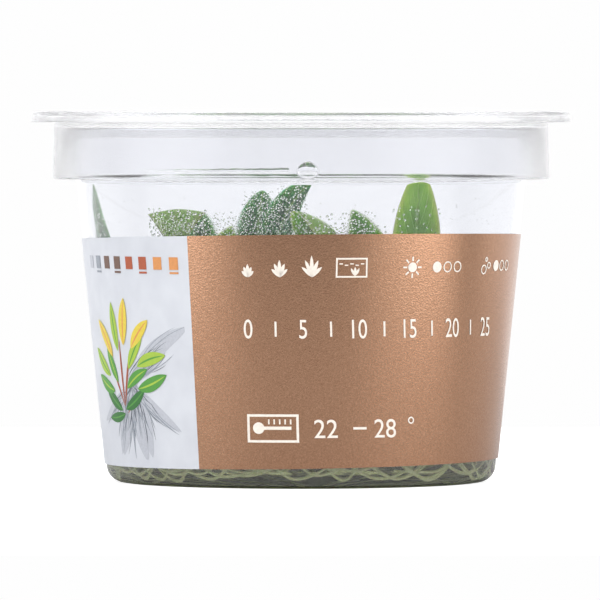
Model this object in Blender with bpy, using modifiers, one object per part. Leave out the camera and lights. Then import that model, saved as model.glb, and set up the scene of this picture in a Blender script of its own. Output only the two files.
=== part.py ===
"""A tissue-culture cup of anubias plantlets.

A clear tapered cup with a frosted press-on lid and a printed wrap label holds a layer of
nutrient gel. Seven plantlets, each a short rhizome with its leaves, stand on the gel.
All sizes below are in millimetres. The origin is the middle of the base, +Z is up, and the
middle of the label faces -Y.
"""
import math

import bmesh
import bpy
from mathutils import Vector

MM = 0.001                     # metres in one of this file's units

# turned parts
FACETS = 40                    # sides of every turned part, so that neighbours stay parallel
FACET_ANGLE = 360.0 / FACETS
GAP = 0.3                      # clearance between pieces that touch

# cup
CUP_HEIGHT = 62.5
CUP_WALL = 0.9
WALL_FOOT_RADIUS = 34.33       # outer radius where the corner rounding ends
WALL_FOOT_HEIGHT = 3.0
WALL_TOP_RADIUS = 39.4         # outer radius under the shoulder
WALL_TOP_HEIGHT = 53.0
CORNER_RADIUS = 3.0
CORNER_STEPS = 4
PUSH_UP_RADIUS = 25.5          # the base is raised inside its standing ring
PUSH_UP_HEIGHT = 0.5
SHOULDER_RADIUS = 41.5
SHOULDER_HEIGHT = 54.5
RIM_RADIUS = 41.75

# lid
LID_TOP = 65.3
LID_WALL = 0.8
FLANGE_RADIUS = 47.6
FLANGE_LIP = 1.9               # height of the flange's down-turned lip
SKIRT_TOP_RADIUS = 43.4
SKIRT_FOOT_RADIUS = 43.78
SKIRT_FOOT_HEIGHT = 53.4
PANEL_RADIUS = 41.7            # the recessed middle of the lid
PANEL_RIB_RADIUS = 30.0
PANEL_RIB_HEIGHT = 0.5
PLUG_RADIUS = 40.4             # ring that seals inside the cup's mouth
PLUG_DEPTH = 2.0
PLUG_WALL = 0.7

# label
LABEL_THICKNESS = 0.25
LABEL_START = -99.0            # degrees round the cup from the front, towards +X
LABEL_END = 207.0
LABEL_TOP = 43.2
LABEL_TOP_TILT = 1.0
LABEL_TOP_TILT_AT = 22.0       # direction in which the top edge is highest
LABEL_FOOT = 3.8
LABEL_FOOT_TILT = 0.55
LABEL_FOOT_TILT_AT = 114.0

# gel
GEL_LEVEL = 13.0
MENISCUS_HEIGHT = 0.8
MENISCUS_WIDTH = 2.0

# plantlets
RHIZOME_RADIUS = 1.7
RHIZOME_LENGTH = 9.0
RHIZOME_SWELLING = (0.55, 0.95, 0.85, 1.0, 0.85, 0.95, 0.5)
PETIOLE_RADIUS = 0.6
BLADE_THICKNESS = 0.5
SECTION_POINTS = 8
BLADE_FOLD = 0.35              # how far the margins of a blade rise over its midrib
ARCHED_FOLD = -0.12            # and how far they droop where the leaf arches over
PETIOLE_STATIONS = (0.0, 0.35, 0.7)
BLADE_STATIONS = (0.0, 0.12, 0.27, 0.42, 0.57, 0.71, 0.84, 0.94)
BASE_SPACING = 2.1             # between neighbouring leaf bases along a rhizome

# One entry for each plantlet: the rhizome's middle and direction, then its leaves. A leaf is
# tip x, y, z, reach and height of its curve's control point, blade length, blade width, and
# the direction that its upper side faces, in degrees from the front towards +X. The reach is
# how far out along its way the leaf stops climbing, as a share.
PLANTLETS = (
    dict(at=(-20.0, -13.0), along=20.0, leaves=(
        (-33.0, -9.5, 37.0, 0.3, 33.0, 18.0, 8.5, 60.0),
        (-21.6, -29.0, 40.5, 0.66, 64.0, 25.0, 10.4, 180.0),
        (-16.6, -17.0, 47.6, 0.3, 40.0, 19.0, 6.5, 15.0),
        (-11.9, -24.0, 45.6, 0.3, 38.0, 18.0, 6.5, 0.0),
    )),
    dict(at=(-8.0, -17.0), along=5.0, leaves=(
        (-11.0, -29.0, 38.0, 0.3, 33.0, 17.0, 8.0, 0.0),
        (-6.6, -10.0, 51.6, 0.3, 44.0, 23.0, 7.8, 5.0),
        (1.9, -20.5, 52.8, 0.1, 48.0, 25.0, 7.8, -40.0),
        (5.2, -31.4, 39.0, 0.7, 62.0, 25.0, 10.0, 178.0),
    )),
    dict(at=(19.3, -15.5), along=0.0, leaves=(
        (8.7, -23.0, 48.4, 0.3, 40.0, 20.0, 7.4, -15.0),
        (20.5, -28.0, 56.8, 0.3, 42.0, 31.5, 8.8, 0.0),
        (31.0, -12.0, 41.0, 0.3, 38.0, 20.0, 8.5, -70.0),
    )),
    dict(at=(20.5, 8.0), along=70.0, leaves=(
        (27.5, -4.5, 40.5, 0.3, 37.0, 19.0, 8.0, -150.0),
        (32.8, 7.5, 41.5, 0.3, 40.0, 21.0, 9.0, -90.0),
        (12.5, 8.0, 40.0, 0.3, 37.0, 19.0, 8.5, 60.0),
        (23.0, 23.5, 41.0, 0.3, 40.0, 20.0, 9.0, -40.0),
    )),
    dict(at=(1.0, 18.5), along=0.0, leaves=(
        (-14.0, 22.5, 40.5, 0.3, 38.0, 17.0, 8.0, 60.0),
        (-0.5, 32.0, 40.0, 0.3, 38.0, 18.0, 8.0, 0.0),
        (2.0, 11.0, 40.5, 0.3, 37.0, 19.0, 8.5, 180.0),
        (11.5, 28.0, 41.5, 0.3, 38.0, 20.0, 9.0, -40.0),
    )),
    dict(at=(-20.5, 8.0), along=-75.0, leaves=(
        (-20.0, 26.0, 41.0, 0.3, 39.0, 18.0, 8.5, 20.0),
        (-33.0, 11.5, 41.5, 0.3, 38.0, 18.0, 8.0, 90.0),
        (-12.5, 9.0, 39.0, 0.3, 37.0, 18.0, 8.5, -60.0),
        (-36.7, -2.5, 53.0, 0.95, 25.0, 27.0, 9.4, 69.0),
    )),
    dict(at=(0.5, -1.0), along=30.0, leaves=(
        (-9.5, 0.0, 38.0, 0.3, 34.0, 17.0, 8.0, 90.0),
        (1.0, -8.5, 41.0, 0.3, 36.0, 18.0, 8.0, 170.0),
        (10.5, 0.0, 39.0, 0.3, 35.0, 18.0, 8.0, -90.0),
    )),
)

# finishes: colour, roughness, metallic, transmission
FINISHES = {
    "clear_plastic": ((0.90, 0.91, 0.93), 0.05, 0.0, 1.0),
    "frosted_plastic": ((0.84, 0.85, 0.87), 0.45, 0.0, 0.8),
    "printed_foil": ((0.50, 0.30, 0.19), 0.35, 0.6, 0.0),
    "nutrient_gel": ((0.36, 0.38, 0.24), 0.10, 0.0, 0.7),
    "leaf": ((0.14, 0.32, 0.10), 0.40, 0.0, 0.0),
    "rhizome": ((0.30, 0.34, 0.16), 0.60, 0.0, 0.0),
}


def clear_scene():
    for item in list(bpy.data.objects):
        bpy.data.objects.remove(item, do_unlink=True)


def make_material(finish, name):
    colour, roughness, metallic, transmission = FINISHES[finish]
    material = bpy.data.materials.new(name)
    material.use_nodes = True
    shader = material.node_tree.nodes["Principled BSDF"]
    shader.inputs["Base Color"].default_value = (*colour, 1.0)
    shader.inputs["Roughness"].default_value = roughness
    shader.inputs["Metallic"].default_value = metallic
    shader.inputs["Transmission Weight"].default_value = transmission
    return material


def add_object(name, data, collection, finish):
    item = bpy.data.objects.new(name, data)
    data.materials.append(make_material(finish, name))
    collection.objects.link(item)
    return item


def round_direction(degrees):
    """Unit vector at an angle round the cup: 0 is the front, 90 is +X."""
    angle = math.radians(degrees)
    return Vector((math.sin(angle), -math.cos(angle), 0.0))


def wall_radius(height):
    """Outer radius of the cup's tapered wall."""
    rise = (height - WALL_FOOT_HEIGHT) / (WALL_TOP_HEIGHT - WALL_FOOT_HEIGHT)
    return WALL_FOOT_RADIUS + rise * (WALL_TOP_RADIUS - WALL_FOOT_RADIUS)


def cup_outline():
    """Outer side of the cup, from the middle of its base to its rim, as (radius, height)."""
    points = [(0.0, PUSH_UP_HEIGHT), (PUSH_UP_RADIUS, PUSH_UP_HEIGHT), (PUSH_UP_RADIUS + 0.8, 0.0)]
    corner_radius = WALL_FOOT_RADIUS - CORNER_RADIUS
    for step in range(CORNER_STEPS + 1):
        angle = math.radians(90.0 * step / CORNER_STEPS)
        points.append((
            corner_radius + CORNER_RADIUS * math.sin(angle),
            WALL_FOOT_HEIGHT * (1.0 - math.cos(angle)),
        ))
    shoulder_rise = SHOULDER_HEIGHT - WALL_TOP_HEIGHT
    points.append((WALL_TOP_RADIUS, WALL_TOP_HEIGHT))
    points.append((SHOULDER_RADIUS - 0.3, WALL_TOP_HEIGHT + 0.7 * shoulder_rise))
    points.append((SHOULDER_RADIUS, SHOULDER_HEIGHT))
    points.append((RIM_RADIUS, CUP_HEIGHT))
    return points


def offset_inward(outline, distance):
    """The outline moved towards the hollow by a distance, with its first point on the axis."""
    moved = []
    for index, (radius, height) in enumerate(outline):
        before = outline[max(index - 1, 0)]
        after = outline[min(index + 1, len(outline) - 1)]
        run = Vector((after[0] - before[0], after[1] - before[1])).normalized()
        moved.append((radius - distance * run.y, height + distance * run.x))
    moved[0] = (0.0, outline[0][1] + distance)
    moved[-1] = (outline[-1][0] - distance, outline[-1][1])
    return moved


def turned(name, outline, collection, finish):
    """A solid of revolution; the outline runs down its outer side and starts and ends on Z."""
    mesh = bpy.data.meshes.new(name)
    shape = bmesh.new()
    points = [shape.verts.new((radius * MM, 0.0, height * MM)) for radius, height in outline]
    for start, end in zip(points, points[1:]):
        shape.edges.new((start, end))
    shape.to_mesh(mesh)
    shape.free()
    item = add_object(name, mesh, collection, finish)
    screw = item.modifiers.new("turn", "SCREW")
    screw.steps = FACETS
    screw.render_steps = FACETS
    screw.use_merge_vertices = True
    screw.merge_threshold = 0.00001
    screw.use_smooth_shade = False
    return item


def make_cup(collection):
    outer = cup_outline()
    inner = offset_inward(outer, CUP_WALL)
    return turned("cup", inner + outer[::-1], collection, "clear_plastic")


def make_lid(collection):
    panel_top = CUP_HEIGHT + GAP + LID_WALL
    panel_under = CUP_HEIGHT + GAP
    flange_under = LID_TOP - LID_WALL
    lip_foot = LID_TOP - FLANGE_LIP
    outline = [
        (0.0, panel_top),
        (PANEL_RIB_RADIUS - 1.0, panel_top),
        (PANEL_RIB_RADIUS - 0.5, panel_top + PANEL_RIB_HEIGHT),
        (PANEL_RIB_RADIUS + 0.5, panel_top + PANEL_RIB_HEIGHT),
        (PANEL_RIB_RADIUS + 1.0, panel_top),
        (PANEL_RADIUS, panel_top),
        (SKIRT_TOP_RADIUS - LID_WALL, LID_TOP),
        (FLANGE_RADIUS - 0.4, LID_TOP),
        (FLANGE_RADIUS, lip_foot),
        (FLANGE_RADIUS - LID_WALL, lip_foot),
        (FLANGE_RADIUS - LID_WALL - 0.3, flange_under),
        (SKIRT_TOP_RADIUS, flange_under),
        (SKIRT_FOOT_RADIUS, SKIRT_FOOT_HEIGHT + 0.5),
        (SKIRT_FOOT_RADIUS - 0.4, SKIRT_FOOT_HEIGHT),
        (SKIRT_FOOT_RADIUS - LID_WALL, SKIRT_FOOT_HEIGHT + 0.3),
        (SKIRT_TOP_RADIUS - LID_WALL, panel_under),
        (PLUG_RADIUS, panel_under),
        (PLUG_RADIUS - 0.2, panel_under - PLUG_DEPTH),
        (PLUG_RADIUS - PLUG_WALL, panel_under - PLUG_DEPTH),
        (PLUG_RADIUS - PLUG_WALL, panel_under),
        (0.0, panel_under),
    ]
    return turned("lid", outline, collection, "frosted_plastic")


def make_gel(collection):
    side = offset_inward(cup_outline(), CUP_WALL + GAP)
    side = [point for point in side if point[1] < GEL_LEVEL]
    brim = GEL_LEVEL + MENISCUS_HEIGHT
    brim_radius = wall_radius(brim) - CUP_WALL - GAP - 0.05
    outline = [(0.0, GEL_LEVEL), (brim_radius - MENISCUS_WIDTH, GEL_LEVEL), (brim_radius, brim)]
    return turned("gel", outline + side[::-1], collection, "nutrient_gel")


def edge_height(middle, tilt, highest_at, degrees):
    """Height of a label edge that lies in a slightly tilted plane."""
    return middle + tilt * math.cos(math.radians(degrees - highest_at))


def make_label(collection):
    """The wrap: a strip spun round the axis and laid on the cup between its two tilted edges."""
    mesh = bpy.data.meshes.new("label")
    shape = bmesh.new()
    low = shape.verts.new(round_direction(LABEL_START))
    high = shape.verts.new(round_direction(LABEL_START) + Vector((0.0, 0.0, 1.0)))
    bmesh.ops.spin(
        shape,
        geom=[low, high, shape.edges.new((low, high))],
        cent=(0.0, 0.0, 0.0),
        axis=(0.0, 0.0, 1.0),
        angle=math.radians(LABEL_END - LABEL_START),
        steps=round((LABEL_END - LABEL_START) / FACET_ANGLE),
    )
    for corner in shape.verts:
        degrees = math.degrees(math.atan2(corner.co.x, -corner.co.y))
        if corner.co.z > 0.5:
            height = edge_height(LABEL_TOP, LABEL_TOP_TILT, LABEL_TOP_TILT_AT, degrees)
        else:
            height = edge_height(LABEL_FOOT, LABEL_FOOT_TILT, LABEL_FOOT_TILT_AT, degrees)
        place = round_direction(degrees) * (wall_radius(height) + GAP)
        corner.co = (place + Vector((0.0, 0.0, height))) * MM
    bmesh.ops.recalc_face_normals(shape, faces=shape.faces[:])
    if shape.faces[0].normal.dot(shape.faces[0].calc_center_median()) < 0.0:
        bmesh.ops.reverse_faces(shape, faces=shape.faces[:])
    shape.to_mesh(mesh)
    shape.free()
    item = add_object("label", mesh, collection, "printed_foil")
    film = item.modifiers.new("film", "SOLIDIFY")
    film.thickness = LABEL_THICKNESS * MM
    film.offset = 1.0
    return item


def make_rhizome(name, middle, along, collection):
    """A short knobbly stem lying on the gel."""
    curve = bpy.data.curves.new(name, "CURVE")
    curve.dimensions = "3D"
    curve.bevel_depth = RHIZOME_RADIUS * MM
    curve.bevel_resolution = 2
    curve.use_fill_caps = True
    spline = curve.splines.new("POLY")
    spline.points.add(len(RHIZOME_SWELLING) - 1)
    for index, swelling in enumerate(RHIZOME_SWELLING):
        step = index / (len(RHIZOME_SWELLING) - 1) - 0.5
        place = (middle + along * RHIZOME_LENGTH * step) * MM
        spline.points[index].co = (*place, 1.0)
        spline.points[index].radius = swelling
    return add_object(name, curve, collection, "rhizome")


def blade_half_width(along):
    """Half width of a leaf blade, as a share of its widest, from its base 0 to its tip 1."""
    return math.sin(math.pi * along ** 0.8) ** 0.8


def leaf_section(centre, side, normal, half_width, half_thickness, fold):
    """A ring round the leaf: a circle on the petiole and a folded lens on the blade."""
    ring = []
    for point in range(SECTION_POINTS):
        angle = 2.0 * math.pi * point / SECTION_POINTS
        across = half_width * math.cos(angle)
        lift = half_thickness * math.sin(angle) + fold * abs(across)
        ring.append(centre + side * across + normal * lift)
    return ring


def make_leaf(name, base, leaf, collection):
    """A petiole and blade lofted along a curve that climbs from the base and leans to the tip."""
    tip_x, tip_y, tip_z, reach, control_height, blade_length, blade_width, facing = leaf
    tip = Vector((tip_x, tip_y, tip_z))
    control = base.lerp(tip, reach)
    control.z = control_height
    face = (round_direction(facing) + Vector((0.0, 0.0, 0.35))).normalized()
    arched = control_height > tip_z + 5.0

    def spine(share):
        return base.lerp(control, share).lerp(control.lerp(tip, share), share)

    def heading(share):
        return (control - base).lerp(tip - control, share).normalized()

    steps = 64
    length = sum((spine((k + 1) / steps) - spine(k / steps)).length for k in range(steps))
    petiole_share = 1.0 - blade_length / length
    stations = [(share * petiole_share, None) for share in PETIOLE_STATIONS]
    stations += [(petiole_share + (1.0 - petiole_share) * share, share) for share in BLADE_STATIONS]
    side = heading(petiole_share).cross(face)
    rings = []
    for share, along in stations:
        forward = heading(share)
        side = (side - forward * side.dot(forward)).normalized()
        normal = side.cross(forward)
        width = PETIOLE_RADIUS
        thickness = PETIOLE_RADIUS
        fold = 0.0
        if along is not None:
            width = max(PETIOLE_RADIUS, 0.5 * blade_width * blade_half_width(along))
            thickness = PETIOLE_RADIUS + along * (0.5 * BLADE_THICKNESS - PETIOLE_RADIUS)
            fold = (ARCHED_FOLD if arched else BLADE_FOLD) * min(1.0, 4.0 * along)
        rings.append(leaf_section(spine(share), side, normal, width, thickness, fold))

    shape = bmesh.new()
    loops = [[shape.verts.new(point * MM) for point in ring] for ring in rings]
    point_vertex = shape.verts.new(tip * MM)
    shape.faces.new(loops[0])
    for near, far in zip(loops, loops[1:]):
        for k in range(SECTION_POINTS):
            following = (k + 1) % SECTION_POINTS
            shape.faces.new((near[k], near[following], far[following], far[k]))
    for k in range(SECTION_POINTS):
        shape.faces.new((loops[-1][k], loops[-1][(k + 1) % SECTION_POINTS], point_vertex))
    bmesh.ops.recalc_face_normals(shape, faces=shape.faces[:])
    mesh = bpy.data.meshes.new(name)
    shape.to_mesh(mesh)
    shape.free()
    return add_object(name, mesh, collection, "leaf")


def make_plantlet(number, plantlet, collection):
    middle = Vector((*plantlet["at"], GEL_LEVEL + GAP + RHIZOME_RADIUS))
    along = round_direction(plantlet["along"] + 90.0)
    make_rhizome(f"rhizome_{number}", middle, along, collection)
    count = len(plantlet["leaves"])
    for index, leaf in enumerate(plantlet["leaves"]):
        base = middle + along * BASE_SPACING * (index - 0.5 * (count - 1))
        base.z = middle.z + RHIZOME_RADIUS + GAP
        make_leaf(f"leaf_{number}_{index + 1}", base, leaf, collection)


def main():
    clear_scene()
    collection = bpy.data.collections.new("anubias_culture_cup")
    bpy.context.scene.collection.children.link(collection)
    make_cup(collection)
    make_lid(collection)
    make_label(collection)
    make_gel(collection)
    for number, plantlet in enumerate(PLANTLETS, start=1):
        make_plantlet(number, plantlet, collection)


main()
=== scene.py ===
import math
import random

import bmesh
import bpy
from mathutils import Matrix, Vector, noise


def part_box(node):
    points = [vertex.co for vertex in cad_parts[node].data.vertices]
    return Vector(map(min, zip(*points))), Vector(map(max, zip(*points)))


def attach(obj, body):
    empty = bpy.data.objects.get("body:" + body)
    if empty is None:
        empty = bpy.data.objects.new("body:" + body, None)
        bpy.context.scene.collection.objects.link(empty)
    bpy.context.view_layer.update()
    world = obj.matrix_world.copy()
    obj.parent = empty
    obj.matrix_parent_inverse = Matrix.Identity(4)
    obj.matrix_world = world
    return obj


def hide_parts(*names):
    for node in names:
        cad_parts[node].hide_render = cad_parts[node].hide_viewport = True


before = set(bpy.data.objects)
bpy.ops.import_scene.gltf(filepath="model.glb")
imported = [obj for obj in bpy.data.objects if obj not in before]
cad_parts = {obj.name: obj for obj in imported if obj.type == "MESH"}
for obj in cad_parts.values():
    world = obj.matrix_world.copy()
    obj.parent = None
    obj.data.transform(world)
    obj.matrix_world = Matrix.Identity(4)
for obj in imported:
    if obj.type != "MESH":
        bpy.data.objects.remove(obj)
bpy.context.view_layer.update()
mm = 0.001  # lengths below are in millimetres, and this turns them to metres
print("frame loaded")


def hexColour(code, alpha=1.0):
    # sRGB hex to the linear values that Blender works in
    parts = [int(code[i:i + 2], 16) / 255 for i in (1, 3, 5)]
    return (*[c / 12.92 if c <= 0.04045 else ((c + 0.055) / 1.055) ** 2.4 for c in parts], alpha)


def addNode(tree, kind, inputs=None, stops=(), **settings):
    node = tree.nodes.new("ShaderNode" + kind)
    for key, value in settings.items():
        setattr(node, key, value)
    for key, value in (inputs or {}).items():
        if isinstance(value, bpy.types.NodeSocket):
            tree.links.new(value, node.inputs[key])
        else:
            node.inputs[key].default_value = value
    for index, (place, colour) in enumerate(stops):  # a ramp's colours; it starts with two
        elements = node.color_ramp.elements
        element = elements[index] if index < 2 else elements.new(place)
        element.position = place
        element.color = hexColour(colour)
    return node


def newMaterial(name, values):
    # a Principled material with its plain values; patterns are linked in afterwards
    material = bpy.data.materials.new(name)
    material.use_nodes = True
    tree = material.node_tree
    shader = tree.nodes["Principled BSDF"]
    for key, value in values.items():
        shader.inputs[key].default_value = value
    return material, tree, shader


def addGrain(tree, shader, grain, depth, distance=0.0002, detail=3.0):
    # a fine bump; grain is the size of one bump in millimetres
    place = addNode(tree, "TexCoord").outputs["Object"]
    speckle = addNode(tree, "TexNoise", {"Vector": place, "Scale": 1 / (grain * mm), "Detail": detail})
    bump = addNode(tree, "Bump", {
        "Height": speckle.outputs["Fac"], "Strength": depth, "Distance": distance,
    })
    tree.links.new(bump.outputs["Normal"], shader.inputs["Normal"])
    return speckle.outputs["Fac"]


def roundDirection(degrees):
    # 0 is the front of the cup, 90 is its right side
    return Vector((math.sin(math.radians(degrees)), -math.cos(math.radians(degrees)), 0))


cup = dict(
    wall=0.9, footRadius=34.33, footHeight=3.0, topRadius=39.4, topHeight=53.0,
    standRadius=26.3, pushUpRadius=25.5, pushUp=0.5, footRounding=3.0,
    shoulderRadius=41.5, shoulderHeight=54.4, facets=192, fogFoot=43.0,
)


def wallRadius(height):
    rise = (height - cup["footHeight"]) / (cup["topHeight"] - cup["footHeight"])
    return cup["footRadius"] + rise * (cup["topRadius"] - cup["footRadius"])


def roundedPath(corners, steps=5):
    # corners are (radius from the axis, height, rounding)
    path = []
    for index, (x, z, rounding) in enumerate(corners):
        here = Vector((x, z))
        if rounding == 0:
            path.append(here)
            continue
        back = Vector(corners[index - 1][:2]) - here
        on = Vector(corners[index + 1][:2]) - here
        half = back.angle(on) / 2
        reach = min(rounding / math.tan(half), 0.48 * back.length, 0.48 * on.length)
        middle = here + (back.normalized() + on.normalized()).normalized() * reach / math.cos(half)
        first = here + back.normalized() * reach - middle
        last = here + on.normalized() * reach - middle
        turn = first.angle(last)
        for step in range(steps + 1):
            share = step / steps
            spoke = first * math.sin((1 - share) * turn) + last * math.sin(share * turn)
            path.append(middle + spoke / math.sin(turn))
    return path


def offsetPath(path, distance):
    # the path moved towards the inside of the cup
    moved = []
    for index, here in enumerate(path):
        run = (path[min(index + 1, len(path) - 1)] - path[max(index - 1, 0)]).normalized()
        moved.append(Vector((max(here.x - distance * run.y, 0), here.y + distance * run.x)))
    moved[0].x = 0
    moved[-1] = Vector((path[-1].x - distance, path[-1].y))
    return moved


def spunShape(path, facets):
    bm = bmesh.new()
    points = [bm.verts.new((p.x * mm, 0, p.y * mm)) for p in path]
    edges = [bm.edges.new(pair) for pair in zip(points, points[1:])]
    bmesh.ops.spin(
        bm, geom=points + edges, cent=(0, 0, 0), axis=(0, 0, 1), dvec=(0, 0, 0),
        angle=2 * math.pi, steps=facets, use_merge=True,
    )
    bmesh.ops.remove_doubles(bm, verts=bm.verts, dist=1e-7)
    bmesh.ops.recalc_face_normals(bm, faces=bm.faces)
    return bm


def finishPiece(bm, name, materials, replaced=(), sharpAngle=40):
    mesh = bpy.data.meshes.new(name)
    bm.to_mesh(mesh)
    bm.free()
    mesh.shade_smooth()
    mesh.set_sharp_from_angle(angle=math.radians(sharpAngle))
    piece = bpy.data.objects.new(name, mesh)
    for material in materials:
        mesh.materials.append(material)
    bpy.context.scene.collection.objects.link(piece)
    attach(piece, "root")
    if replaced:
        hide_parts(*replaced)
    return piece


camera = dict(distance=1640.0, height=69.0, aimHeight=32.0, aimSide=-0.2, lens=558.0, bounces=32)
studio = dict(
    backdrop=0.991, through=1.14, room=0.28, sheetHalf=260.0, sheetGlow=0.85, sheet="#a4a4a4",
    boxes=3.4, boxAngle=64.0, boxRise=0.2, boxSize=27.0,  # a tall soft box at each side of the front
    high=6.5, highRise=1.8, highSize=20.0, behind=0.95, behindSize=75.0, top=0.65, topSize=55.0,
)


def makeCamera():
    data = bpy.data.cameras.new("camera")
    data.lens = camera["lens"]
    data.clip_end = 50
    eye = bpy.data.objects.new("camera", data)
    eye.location = Vector((camera["aimSide"], -camera["distance"], camera["height"])) * mm
    aim = Vector((camera["aimSide"], 0, camera["aimHeight"])) * mm
    eye.rotation_euler = (aim - eye.location).to_track_quat("-Z", "Y").to_euler()
    bpy.context.scene.collection.objects.link(eye)
    bpy.context.scene.camera = eye
    bpy.context.scene.view_settings.view_transform = "Standard"
    for kind in ("max", "transmission", "glossy"):  # light passes many plastic skins here
        setattr(bpy.context.scene.cycles, kind + "_bounces", camera["bounces"])


def softBox(tree, direction, degrees, softness, strength):
    # a soft patch of light in one direction; degrees is half its width
    edge = math.cos(math.radians(degrees))
    way = addNode(tree, "TexCoord").outputs["Generated"]
    dot = addNode(tree, "VectorMath", {0: way, 1: direction}, operation="DOT_PRODUCT")
    patch = addNode(tree, "MapRange", {
        "Value": dot.outputs["Value"], "From Min": edge - softness, "From Max": edge + softness,
    }, interpolation_type="SMOOTHSTEP")
    light = addNode(tree, "Math", {0: patch.outputs["Result"], 1: strength}, operation="MULTIPLY")
    return light.outputs[0]


def makeStudio():
    world = bpy.data.worlds.new("studio")
    bpy.context.scene.world = world
    world.use_nodes = True
    tree = world.node_tree
    tree.nodes.clear()
    right = roundDirection(studio["boxAngle"]) + Vector((0, 0, studio["boxRise"]))
    left = Vector((-right.x, right.y, right.z))
    front = Vector((0, -1, studio["highRise"]))
    lights = [
        softBox(tree, right.normalized(), studio["boxSize"], 0.1, studio["boxes"]),
        softBox(tree, left.normalized(), studio["boxSize"], 0.1, studio["boxes"]),
        softBox(tree, front.normalized(), studio["highSize"], 0.03, studio["high"]),
        softBox(tree, (0, 1, 0), studio["behindSize"], 0.25, studio["behind"]),
        softBox(tree, (0, 0, 1), studio["topSize"], 0.15, studio["top"]),
    ]
    total = addNode(tree, "Math", {0: studio["room"], 1: lights[0]}, operation="ADD").outputs[0]
    for light in lights[1:]:
        total = addNode(tree, "Math", {0: total, 1: light}, operation="ADD").outputs[0]
    lit = addNode(tree, "Background", {"Color": hexColour("#fdfdff"), "Strength": total})
    seen = addNode(tree, "Background", {"Color": (1, 1, 1, 1), "Strength": studio["backdrop"]})
    # a bright white tent, which only what comes through clear pieces shows
    tent = addNode(tree, "Background", {"Color": (1, 1, 1, 1), "Strength": studio["through"]})
    rays = addNode(tree, "LightPath")
    mix = addNode(tree, "MixShader", {
        0: rays.outputs["Is Transmission Ray"], 1: lit.outputs[0], 2: tent.outputs[0],
    })
    mix = addNode(tree, "MixShader", {
        0: rays.outputs["Is Camera Ray"], 1: mix.outputs[0], 2: seen.outputs[0],
    })
    addNode(tree, "OutputWorld", {"Surface": mix.outputs[0]})

    bm = bmesh.new()
    bmesh.ops.create_grid(bm, x_segments=1, y_segments=1, size=studio["sheetHalf"] * mm)
    mesh = bpy.data.meshes.new("floor")
    bm.to_mesh(mesh)
    bm.free()
    floor = bpy.data.objects.new("floor", mesh)
    paper, tree, shader = newMaterial("litWhiteSheet", {
        "Base Color": hexColour(studio["sheet"]), "Roughness": 0.9, "Emission Color": (1, 1, 1, 1),
    })
    rays = addNode(tree, "LightPath")
    seen = addNode(
        tree, "Math", {0: rays.outputs["Is Camera Ray"], 1: rays.outputs["Is Transmission Ray"]},
        operation="MAXIMUM",
    )
    glow = addNode(tree, "Math", {0: seen.outputs[0], 1: studio["sheetGlow"]}, operation="MULTIPLY")
    tree.links.new(glow.outputs[0], shader.inputs["Emission Strength"])
    mesh.materials.append(paper)
    bpy.context.scene.collection.objects.link(floor)


makeCamera()
makeStudio()
print("camera and studio made")


def clearPlastic():
    # clear polystyrene, injection moulded: bright and hard, and a little cool where it is looked along
    material, tree, shader = newMaterial("clearMouldedPolystyrene", {
        "Base Color": hexColour("#f1f2f5"), "Roughness": 0.03, "IOR": 1.5, "Transmission Weight": 1.0,
    })
    addGrain(tree, shader, 9.0, 0.12, 0.0004, 1.0)
    return material


def foggedPlastic():
    # the same plastic where the finest mist sits on it: patchy and softly blurring
    material, tree, shader = newMaterial("foggedMouldedPolystyrene", {
        "Base Color": hexColour("#f1f2f5"), "IOR": 1.5, "Transmission Weight": 1.0,
    })
    place = addNode(tree, "TexCoord").outputs["Object"]
    patches = addNode(tree, "TexNoise", {"Vector": place, "Scale": 1 / (5.0 * mm), "Detail": 2.0})
    across, _, upward = addNode(tree, "SeparateXYZ", {0: place}).outputs
    edges = [  # from clear to fogged, in metres
        addNode(tree, "MapRange", {"Value": across, "From Min": start, "From Max": end}).outputs[0]
        for start, end in ((-0.029, -0.026), (0.017, 0.013))
    ] + [addNode(tree, "MapRange", {"Value": upward, "From Min": 0.053, "From Max": 0.047}).outputs[0]]
    fogged = patches.outputs["Fac"]
    for edge in edges:
        fogged = addNode(tree, "Math", {0: fogged, 1: edge}, operation="MULTIPLY").outputs[0]
    rough = addNode(tree, "MapRange", {
        "Value": fogged, "From Min": 0.1, "From Max": 0.6, "To Min": 0.03, "To Max": 0.16,
    })
    tree.links.new(rough.outputs[0], shader.inputs["Roughness"])
    return material


def frostedPlastic():
    # polypropylene from an etched mould: it glows white and blurs what is behind it; its IOR of 1.49 is
    # lowered to 1.3, because the etched skin hardly mirrors anything
    material, tree, shader = newMaterial("frostedMouldedPolypropylene", {
        "Base Color": hexColour("#fefeff"), "Roughness": 0.17, "IOR": 1.3, "Transmission Weight": 0.97,
    })
    addGrain(tree, shader, 0.35, 0.10, 0.0001)
    return material


def copperFilm():
    # printed film with a metallic copper ink: satin, with the sparkle of fine flakes
    material, tree, shader = newMaterial("copperPrintedFilm", {
        "Metallic": 0.95, "Roughness": 0.25, "Specular IOR Level": 0.5,
    })
    flakes = addGrain(tree, shader, 0.28, 0.22, 0.00012, 2.0)
    colour = addNode(
        tree, "ValToRGB", {"Fac": flakes}, [(0.25, "#a47c61"), (0.5, "#b1886c"), (0.75, "#bf967a")],
    )
    tree.links.new(colour.outputs["Color"], shader.inputs["Base Color"])
    return material


def whiteFilm():
    # the bare white of the same film, smooth and slightly glossy
    material, tree, shader = newMaterial("whitePrintedFilm", {
        "Roughness": 0.4, "Specular IOR Level": 0.5,
    })
    clouds = addGrain(tree, shader, 6.0, 0.03)
    colour = addNode(tree, "ValToRGB", {"Fac": clouds}, [(0.3, "#c0c3c9"), (0.7, "#cacdd2")])
    tree.links.new(colour.outputs["Color"], shader.inputs["Base Color"])
    return material


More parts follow.
